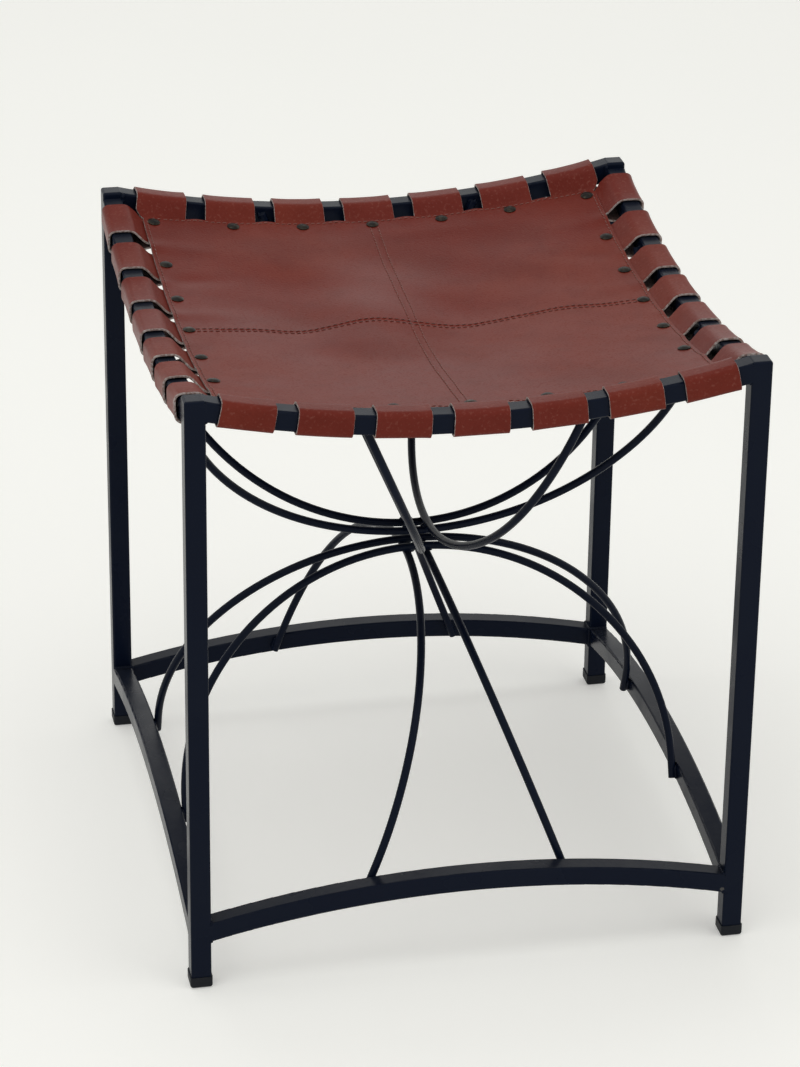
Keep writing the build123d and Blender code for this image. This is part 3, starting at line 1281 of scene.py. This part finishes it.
@dataclass
class SeatPanel:
    """Dished leather panel with its sewing and rivets."""

    finishes: Finishes
    form: PanelForm
    seed: int = 5
    thick: float = 1.6 * MM
    corner: float = 6.0 * MM
    trim: float = 0.3 * MM
    flat_over_plan: float = 1.01
    # Grid lines, in millimetres out from the seam and in from the edge, and the open part
    seam_lines: tuple[float, ...] = (0.0, 1.0, 2.0, 3.0, 4.0, 5.0, 6.5, 9.0, 12.0)
    edge_lines: tuple[float, ...] = (0.0, 0.5, 1.5, 3.0, 5.0, 8.0)
    open_start: float = 16.0 * MM
    open_stop: float = 10.0 * MM
    open_step: float = 4.2 * MM
    # Soft waves, which die out before the riveted edges
    still_edge: float = 24.0 * MM
    still_power_x: int = 6
    still_power_y: int = 4
    waves: tuple[Wave, ...] = (
        Wave(-92 * MM, 26 * MM, -3.6 * MM),
        Wave(-38 * MM, 27 * MM, 4.2 * MM),
        Wave(30 * MM, 36 * MM, -6.4 * MM),
        Wave(116 * MM, 26 * MM, 3.6 * MM),
    )
    wave_lean: float = 0.10
    wave_reach: float = 92.0 * MM
    ripples: tuple[Ripple, ...] = (
        Ripple(1.1 * MM, 34 * MM, 61 * MM, 1.1),
        Ripple(0.9 * MM, -47 * MM, 26 * MM, 0.2),
        Ripple(0.35 * MM, 15 * MM, -38 * MM, 2.0),
        Ripple(0.30 * MM, 22 * MM, 11 * MM, 0.7),
    )
    # Puckers between the straps, and folds that run in from the left and right rivets
    pucker_lift: float = 1.0 * MM
    pucker_reach: float = 9.0 * MM
    pucker_width: float = 6.5 * MM
    pull_lift: float = 0.9 * MM
    pull_right: float = 0.6
    pull_start: float = 24.0 * MM
    pull_reach: float = 26.0 * MM
    pull_width: float = 9.0 * MM
    pull_bend: float = 0.12
    pull_bend_turn: float = 2.1
    pull_first: float = 1.3
    pull_turn: float = 2.4
    # Seams, and how the lengthwise one drifts: its middle, lean and bow
    seam_width: float = 1.6 * MM
    seam_depth: float = 0.35 * MM
    seam_fade: float = 4.0
    drift: tuple[float, float, float] = (-3.5 * MM, 2.5 * MM, 2.0 * MM)
    drift_points: int = 7
    # Rows of stitches
    cross_gap: float = 4.6 * MM
    lengthwise_gap: float = 6.0 * MM
    edge_row: float = 3.0 * MM
    row_end: float = 12.6 * MM
    stitch: float = 4.6 * MM
    stitch_share: float = 0.8
    stitch_points: int = 6
    stray: float = 0.12 * MM
    least_slant: float = 0.15 * MM
    most_slant: float = 0.35 * MM
    thread: float = 0.7 * MM
    thread_sides: int = 6
    thread_rise: float = 0.42
    thread_dive: float = 13.6
    thread_taper: float = 0.5

    def surface(self, x: float, y: float) -> float:
        """Upper face with the soft waves of the hide and the sunken seams.

        Args:
            x: place across the seat.
            y: place from front to back.

        Returns:
            Height over the floor.
        """
        free_x = 1 - (abs(x) / (self.form.x - self.still_edge))**self.still_power_x
        free_y = 1 - (abs(y) / (self.form.y - self.still_edge))**self.still_power_y
        free = max(0.0, free_x) * max(0.0, free_y)
        lift = sum(w.lift * hump(x - w.place - self.wave_lean * y, w.width) for w in self.waves)
        lift *= hump(y, self.wave_reach)
        lift += sum(r.lift * math.sin(x / r.run_x + y / r.run_y + r.start) for r in self.ripples)
        seam = hump(y, self.seam_width) + hump(x - self.seam_place(y), self.seam_width)
        sunk = self.seam_depth * min(seam, 1.0) * min(1.0, self.seam_fade * free)
        edge = self.pucker(x, y) + self.pull(x, y)
        return self.form.height(x, y) + free * lift + edge - sunk

    def pucker(self, x: float, y: float) -> float:
        """Lift of the panel's edge between the straps that pull it.

        Args:
            x: place across the seat.
            y: place from front to back.

        Returns:
            Height added, nothing at the straps and away from the edges.
        """
        near_x = hump(self.form.x - abs(x), self.pucker_reach)
        near_y = hump(self.form.y - abs(y), self.pucker_reach)
        lift_x = near_x * sum(hump(y - gap, self.pucker_width) for gap in self.form.gaps_y)
        lift_y = near_y * sum(hump(x - gap, self.pucker_width) for gap in self.form.gaps_x)
        return self.pucker_lift * (lift_x + lift_y)

    def pull(self, x: float, y: float) -> float:
        """Soft folds that run in from the rivets of the left and right straps.

        Args:
            x: place across the seat.
            y: place from front to back.

        Returns:
            Height added, which swings from fold to fold and dies out inwards.
        """
        inward = self.form.x - abs(x)
        near = hump(inward - self.pull_start, self.pull_reach) * (1.0 if x < 0 else self.pull_right)
        folds = 0.0
        for k, gap in enumerate(self.form.gaps_y):
            bent = y - gap - self.pull_bend * inward * math.sin(self.pull_bend_turn * k)
            folds += math.sin(self.pull_first + self.pull_turn * k) * hump(bent, self.pull_width)
        return self.pull_lift * near * folds

    def seam_place(self, y: float) -> float:
        """Place across the seat of the seam that runs from front to back.

        Args:
            y: place from front to back.

        Returns:
            The seam's place, which drifts as the hide was sewn.
        """
        share = y / self.form.y
        middle, lean, bow = self.drift
        return middle + lean * share + bow * share**2

    def lines(self, half: float) -> np.ndarray:
        """Grid lines across the panel, closer along the seam and the edges.

        Args:
            half: half the panel's size.

        Returns:
            Places from one edge to the other.
        """
        seam, edge = np.array(self.seam_lines) * MM, half - np.array(self.edge_lines) * MM
        open_part = np.arange(self.open_start, half - self.open_stop, self.open_step)
        places = np.unique(np.round(np.r_[seam, open_part, edge], 6))
        return np.r_[-places[:0:-1], places]

    def round_corner(self, x: float, y: float) -> Place:
        """Pull a place near a corner in to the rounded outline.

        Args:
            x: place across the seat.
            y: place from front to back.

        Returns:
            The place moved.
        """
        start_x, start_y = self.form.x - self.corner, self.form.y - self.corner
        dx, dy = abs(x) - start_x, abs(y) - start_y
        if dx <= 0 or dy <= 0:
            return x, y
        scale = max(dx, dy) / math.hypot(dx, dy)
        return math.copysign(start_x + dx * scale, x), math.copysign(start_y + dy * scale, y)

    def build(self) -> None:
        """Make the hide, sew it, and finish the rivets that hold it."""
        xs, ys = self.lines(self.form.x - self.trim), self.lines(self.form.y - self.trim)
        grid = np.zeros((len(xs), len(ys), 3))
        for (i, x), (j, y) in itertools.product(enumerate(xs), enumerate(ys)):
            u, v = self.round_corner(x, y)
            grid[i, j] = u, v, self.surface(u, v) - self.thick / 2
        skin = self.finishes.leather(self.finishes.hide)
        hide = LeatherSheet(grid, self.thick).piece("seat_hide", skin, "seat_leather")
        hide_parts("seat_panel")
        sewing = self.sew()
        finish_nodes(("rivet",), self.finishes.metal)

    def sew(self) -> list[bpy.types.Object]:
        """Sew the cross of double rows and the row along the edges.

        Returns:
            The stitches.
        """
        dice = random.Random(self.seed)
        # The lengthwise and edge rows take the paler copy of the thread, a painted highlight.
        stitches, rubbed = Bundle(), Bundle()
        reach_x, reach_y = self.form.x - self.row_end, self.form.y - self.row_end
        turns = np.linspace(-reach_y, reach_y, self.drift_points)
        for half in (-0.5, 0.5):
            across, along = half * self.cross_gap, half * self.lengthwise_gap
            self._row(stitches, (-reach_x, across), (reach_x, across), dice)
            drifting = [(along + self.seam_place(y), y) for y in turns]
            for start, stop in zip(drifting, drifting[1:]):
                self._row(rubbed, start, stop, dice)
        edge_x, edge_y = self.form.x - self.edge_row, self.form.y - self.edge_row
        stop_x, stop_y = edge_x - self.corner / 2, edge_y - self.corner / 2
        for sign in (-1, 1):
            self._row(rubbed, (-stop_x, sign * edge_y), (stop_x, sign * edge_y), dice)
            self._row(rubbed, (sign * edge_x, -stop_y), (sign * edge_x, stop_y), dice)
        slot = "seat_leather"
        return [stitches.piece("seat_stitches", self.finishes.thread, slot),
                rubbed.piece("seat_stitches_lengthwise", self.finishes.pale_thread, slot)]

    def _row(self, stitches: Bundle, start: Place, stop: Place, dice: random.Random) -> None:
        """Sew one row.

        Args:
            stitches: where the stitches go.
            start: first end of the row.
            stop: second end of the row.
            dice: source of unevenness.
        """
        first, last = np.array(start), np.array(stop)
        length = float(np.linalg.norm(last - first))
        way = (last - first) / length
        side = np.array([-way[1], way[0]])
        count = int(length / self.stitch)
        shares = np.linspace(-0.5, 0.5, self.stitch_points)
        radii = self.thread / 2 * (1 - self.thread_taper * (2 * shares)**6)
        for k in range(count):
            centre = first + way * (k + 0.5) * length / count
            centre = centre + side * dice.uniform(-self.stray, self.stray)
            slant = side * dice.uniform(self.least_slant, self.most_slant)
            points = []
            for s in shares:
                x, y = centre + way * s * self.stitch * self.stitch_share + slant * 2 * s
                arch = self.thread * (self.thread_rise - self.thread_dive * s**4)
                points.append((x, y, self.surface(x, y) + arch))
            stitches.add(*tube(np.array(points), radii, self.thread_sides))


@dataclass
class StrapSet:
    """The leather straps that wrap the rails, each a little different."""

    finishes: Finishes
    form: PanelForm
    seed: int = 3
    width: float = 39.0 * MM
    thick: float = 1.6 * MM
    stand_off: float = 1.55 * MM
    gap: float = 0.35 * MM
    mitre_gap: float = 0.3 * MM
    cut_lines: int = 11
    route_step: float = 0.9 * MM
    # Places where the strap turns, from the panel's edge and from the rail's inner face
    fold_before: float = 1.5 * MM
    belly_after: float = 5.0 * MM
    belly_sag: float = 0.8 * MM
    upper_lead: float = 0.9 * MM
    lower_lead: float = 1.2 * MM
    # Radii of the turns
    fold_bend: float = 8.0 * MM
    upper_bend: float = 9.0 * MM
    corner_bend: float = 4.4 * MM
    flat_bend: float = 20.0 * MM
    outer_bend: float = 30.0 * MM
    lower_bend: float = 7.0 * MM
    belly_bend: float = 12.0 * MM
    # Unevenness, in millimetres on the loosest side, and how loose each side is
    least_slack: float = 0.1
    most_slack: float = 0.9
    most_curl: float = 1.1
    loose: dict[Side, float] = field(default_factory={
        Side.FRONT: 0.5, Side.RIGHT: 0.7, Side.BACK: 0.5, Side.LEFT: 1.0}.copy)
    skew: float = 1.4 * MM
    # The stretch of the strap that is free to curl and skew, as shares of its length
    loop_middle: float = 0.47
    loop_reach: float = 0.2

    def build(self) -> None:
        """Make every strap."""
        dice = random.Random(self.seed)
        for side in Side:
            rail = Rail(side)
            for name in strap_names(side):
                self._strap(rail, name, dice)

    def _under(self, rail: Rail, place: float, inward: float) -> float:
        """Height of a strap's middle layer where it lies under the panel.

        Args:
            rail: the rail it wraps.
            place: where along the rail.
            inward: distance from the rail's inner face.

        Returns:
            Height over the rail's top.
        """
        spot = rail.at(np.array([place]), np.array([inward]), np.array([0.0]))[0]
        turn = place / rail.axis_radius
        drop = (self.form.height(spot[0], spot[1]) - spot[2]) * math.cos(turn)
        return drop - self.thick - self.gap - self.thick / 2

    def _route(self, rail: Rail, place: float, inner_end: float,
               dice: random.Random) -> np.ndarray:
        """Section of a strap round its rail.

        Args:
            rail: the rail it wraps.
            place: where along the rail.
            inner_end: how far its ends reach inwards.
            dice: source of unevenness.

        Returns:
            Points (inward, height), from the upper end to the lower one.
        """
        off, tall = self.stand_off, rail.tube
        slack = dice.uniform(self.least_slack, self.most_slack) * self.loose[rail.side] * MM
        layer = self.thick + self.gap
        edge = rail.inner - (self.form.y if rail.side.axis == 0 else self.form.x)
        belly = edge + self.belly_after
        end = self._under(rail, place, inner_end)
        low = self._under(rail, place, belly) - layer - self.belly_sag
        # Each turn: inward, height, radius. The slack shows most under the rail.
        turns = [
            (edge - self.fold_before, self._under(rail, place, edge), self.fold_bend),
            (self.upper_lead, off + 0.3 * slack, self.upper_bend),
            (-tall / 2, off + 0.55 * slack, self.flat_bend),
            (-tall - off, off, self.corner_bend),
            (-tall - off - 0.5 * slack, -tall / 2, self.outer_bend),
            (-tall - off, -tall - off - 0.4 * slack, self.corner_bend),
            (-tall / 3, -tall - off - slack, self.flat_bend),
            (self.lower_lead, -tall - off - 0.5 * slack, self.lower_bend),
            (belly, low, self.belly_bend),
        ]
        upper_end, lower_end = (inner_end, end), (inner_end - layer, end - layer)
        corners = [upper_end, *((a, h) for a, h, _ in turns), lower_end]
        return rounded_path(corners, [radius for _, _, radius in turns], self.route_step)

    def _place(self, rail: Rail, name: str) -> Place:
        """Measure where a strap's node lies.

        Args:
            rail: the rail it wraps.
            name: the strap's node.

        Returns:
            Its place along the rail, and how far its ends reach inwards.
        """
        spin = Matrix.Rotation(-math.radians(rail.side.value), 3, "Z")
        low, high = (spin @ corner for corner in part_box(name))
        middle = (low.x + high.x) / 2
        place = rail.axis_radius * math.asin(middle / rail.axis_radius)
        return place, max(low.y, high.y) + rail.inner

    def _grid(self, rail: Rail, place: float, route: np.ndarray,
              dice: random.Random) -> tuple[np.ndarray, np.ndarray]:
        """Spread a strap's section to its width, with curled edges and a little skew.

        Args:
            rail: the rail it wraps.
            place: where along the rail.
            route: its section.
            dice: source of unevenness.

        Returns:
            The middle layer's points, and the strap's width along its section.
        """
        far = np.linspace(0, 1, len(route))
        loop = np.exp(-((far - self.loop_middle) / self.loop_reach)**4)
        curls = [dice.uniform(0.0, self.most_curl) * self.loose[rail.side] * MM for _ in range(2)]
        shift = dice.uniform(-self.skew, self.skew) * (far - 0.5) * 2 * loop
        mitre = rail.half - self.mitre_gap - route[:, 0]
        first = np.maximum(place - self.width / 2 + shift, -mitre)
        last = np.minimum(place + self.width / 2 + shift, mitre)
        way = unit(np.gradient(route, axis=0))
        out = np.stack([way[:, 1], -way[:, 0]], -1)
        grid = np.zeros((len(route), self.cut_lines, 3))
        for j, s in enumerate(np.linspace(-1, 1, self.cut_lines)):
            lift = curls[0 if s < 0 else 1] * abs(s)**3 * loop
            line = route + out * lift[:, None]
            along = first + (last - first) * (s + 1) / 2
            grid[:, j] = rail.at(along, line[:, 0], line[:, 1])
        return grid, last - first

    def _strap(self, rail: Rail, name: str, dice: random.Random) -> None:
        """Make one strap.

        Args:
            rail: the rail it wraps.
            name: the strap's node.
            dice: source of unevenness.
        """
        place, inner_end = self._place(rail, name)
        route = self._route(rail, place, inner_end, dice)
        grid, wide = self._grid(rail, place, route, dice)
        skin = self.finishes.leather(self.finishes.strap_hide)
        label = name.replace("strap", "leather_strap")
        strap = LeatherSheet(grid, self.thick).piece(label, skin, "strap_leather")
        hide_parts(name)


# Stage


@dataclass(frozen=True)
class Lamp:
    """A soft square lamp: its place, size and power."""

    name: str
    place: tuple[float, float, float]
    size: float
    power: float


@dataclass(frozen=True)
class Window:
    """A bright part of the room: its way from the stool, its rim and core, and its light."""

    toward: tuple[float, float, float]
    rim: float
    core: float
    gain: float


@dataclass(frozen=True)
class Studio:
    """Pale floor, soft light and the camera at the photograph's angle."""

    position: tuple[float, float, float] = (-0.5590, -2.5894, 1.5102)
    azimuth: float = -11.927
    elevation: float = 25.440
    roll: float = 0.750
    focal_pixels: float = 3866.3
    image_height: int = 1067
    sensor: float = 36.0
    floor_colour: Colour = (0.90, 0.90, 0.865)
    floor_shade: float = 0.985
    floor_lift: float = 0.26
    floor_half: float = 30.0
    floor_roughness: float = 0.7
    floor_specular: float = 0.2
    sight_over_floor: float = 3.0
    room_colour: Colour = (1.0, 1.0, 0.975)
    backdrop: float = 0.85
    # The room's light, which changes from before the stool to behind it, and upwards
    room_before: float = 0.70
    room_behind: float = 0.52
    room_above: float = 0.86
    before: float = -0.6
    behind: float = 0.5
    upward: float = 0.15
    above: float = 0.8
    windows: tuple[Window, ...] = (
        Window((0.16, 0.86, 0.40), 0.960, 0.990, 0.62),
        Window((-0.34, 0.85, 0.33), 0.965, 0.992, 0.60),
        Window((0.62, 0.72, 0.36), 0.970, 0.994, 0.45),
    )
    lamps: tuple[Lamp, ...] = (
        Lamp("key", (-0.7, -0.2, 3.0), 2.6, 20.0),
        Lamp("fill", (2.2, -1.8, 2.0), 2.2, 7.0),
    )
    lamp_target: tuple[float, float, float] = (0.0, 0.0, 0.25)

    def camera(self) -> None:
        """Place the camera."""
        data = bpy.data.cameras.new("camera")
        data.sensor_fit = "VERTICAL"
        data.sensor_height = data.sensor_width = self.sensor
        data.lens = self.focal_pixels / self.image_height * self.sensor
        data.clip_end = self.sight_over_floor * self.floor_half
        a, e, r = (math.radians(v) for v in (self.azimuth, self.elevation, self.roll))
        back = Vector((math.sin(a) * math.cos(e), -math.cos(a) * math.cos(e), math.sin(e)))
        right = (-back).cross(Vector((0, 0, 1))).normalized()
        up = right.cross(-back)
        turned_right = right * math.cos(r) + up * math.sin(r)
        turned_up = up * math.cos(r) - right * math.sin(r)
        camera = bpy.data.objects.new("camera", data)
        place = Matrix((turned_right, turned_up, back)).transposed().to_4x4()
        place.translation = self.position
        camera.matrix_world = place
        bpy.context.scene.collection.objects.link(camera)
        bpy.context.scene.camera = camera

    def seen(self, graph: Graph) -> Socket:
        """Rays that show the backdrop: the camera's, and those of shiny or clear surfaces.

        Args:
            graph: the graph of the floor or the world.

        Returns:
            A socket that is 1 for those rays.
        """
        path = graph.add("LightPath").outputs
        shown = graph.math("MAXIMUM", path["Is Camera Ray"], path["Is Glossy Ray"])
        return graph.math("MAXIMUM", shown, path["Is Transmission Ray"])

    def floor(self) -> None:
        """Lay the floor."""
        material, graph, shader = start_material(
            "pale_floor",
            {"Roughness": self.floor_roughness, "Specular IOR Level": self.floor_specular})
        noise = graph.noise(graph.add("TexCoord").outputs["Object"], scale=3.0, detail=4.0)
        shade = tuple(c * self.floor_shade for c in self.floor_colour)
        # The photograph is exposed for a white ground, so what is seen of it is lifted.
        graph.feed(shader, {
            "Base Color": graph.mix(noise, self.floor_colour, shade),
            "Emission Color": (*self.room_colour, 1.0),
            "Emission Strength": graph.math("MULTIPLY", self.seen(graph), self.floor_lift)})
        size = self.floor_half
        corners = [(-size, -size, 0), (size, -size, 0), (size, size, 0), (-size, size, 0)]
        mesh = bpy.data.meshes.new("floor")
        mesh.from_pydata(corners, [], [(0, 1, 2, 3)])
        mesh.materials.append(material)
        floor = bpy.data.objects.new("floor", mesh)
        bpy.context.scene.collection.objects.link(floor)

    def hang_lamps(self) -> None:
        """Hang the soft lamps."""
        for lamp in self.lamps:
            data = bpy.data.lights.new(lamp.name, "AREA")
            data.energy = lamp.power
            data.size = lamp.size
            hung = bpy.data.objects.new(lamp.name, data)
            hung.location = lamp.place
            hung.rotation_mode = "QUATERNION"
            aim = Vector(self.lamp_target) - Vector(lamp.place)
            hung.rotation_quaternion = aim.to_track_quat("-Z", "Y")
            bpy.context.scene.collection.objects.link(hung)

    def room(self) -> None:
        """Set the world: an even room with a few soft windows."""
        world = bpy.data.worlds.new("soft_room")
        bpy.context.scene.world = world
        world.use_nodes = True
        graph = Graph(world.node_tree)
        place = graph.add("TexCoord").outputs["Generated"]
        split = graph.add("SeparateXYZ", {0: place}).outputs
        level = graph.span(split["Y"], self.before, self.behind, self.room_before, self.room_behind)
        shade = graph.span(split["Z"], self.upward, self.above, 1.0, self.room_above)
        level = graph.math("MULTIPLY", level, shade)
        # Seen straight on or in a shine, the room is about as pale as the floor, so that the
        # horizon is faint from low down and out of sight from the photograph's angle.
        sight = {SHARE: self.seen(graph), VALUE_A: level, VALUE_B: self.backdrop}
        level = graph.add("Mix", sight, data_type="FLOAT").outputs[MIXED_VALUE]
        for window in self.windows:
            near = graph.dot(place, Vector(window.toward).normalized())
            glow = graph.span(near, window.rim, window.core, 0.0, window.gain)
            level = graph.math("ADD", level, glow)
        light = world.node_tree.nodes["Background"]
        graph.feed(light, {"Color": (*self.room_colour, 1.0), "Strength": level})

    def build(self) -> None:
        """Set the whole stage."""
        self.floor()
        self.hang_lamps()
        self.room()
        self.camera()
        bpy.context.scene.view_settings.view_transform = "Standard"


def main() -> None:
    """Dress the stool and set the stage."""
    logging.basicConfig(level=logging.INFO, format="%(name)s %(message)s")
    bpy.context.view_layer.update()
    finishes = Finishes()
    form = PanelForm()
    tubes = TubeFrame(finishes)
    tubes.dress()
    tubes.weld()
    SeatPanel(finishes, form).build()
    StrapSet(finishes, form).build()
    Studio().build()


if __name__ == "__main__":
    main()
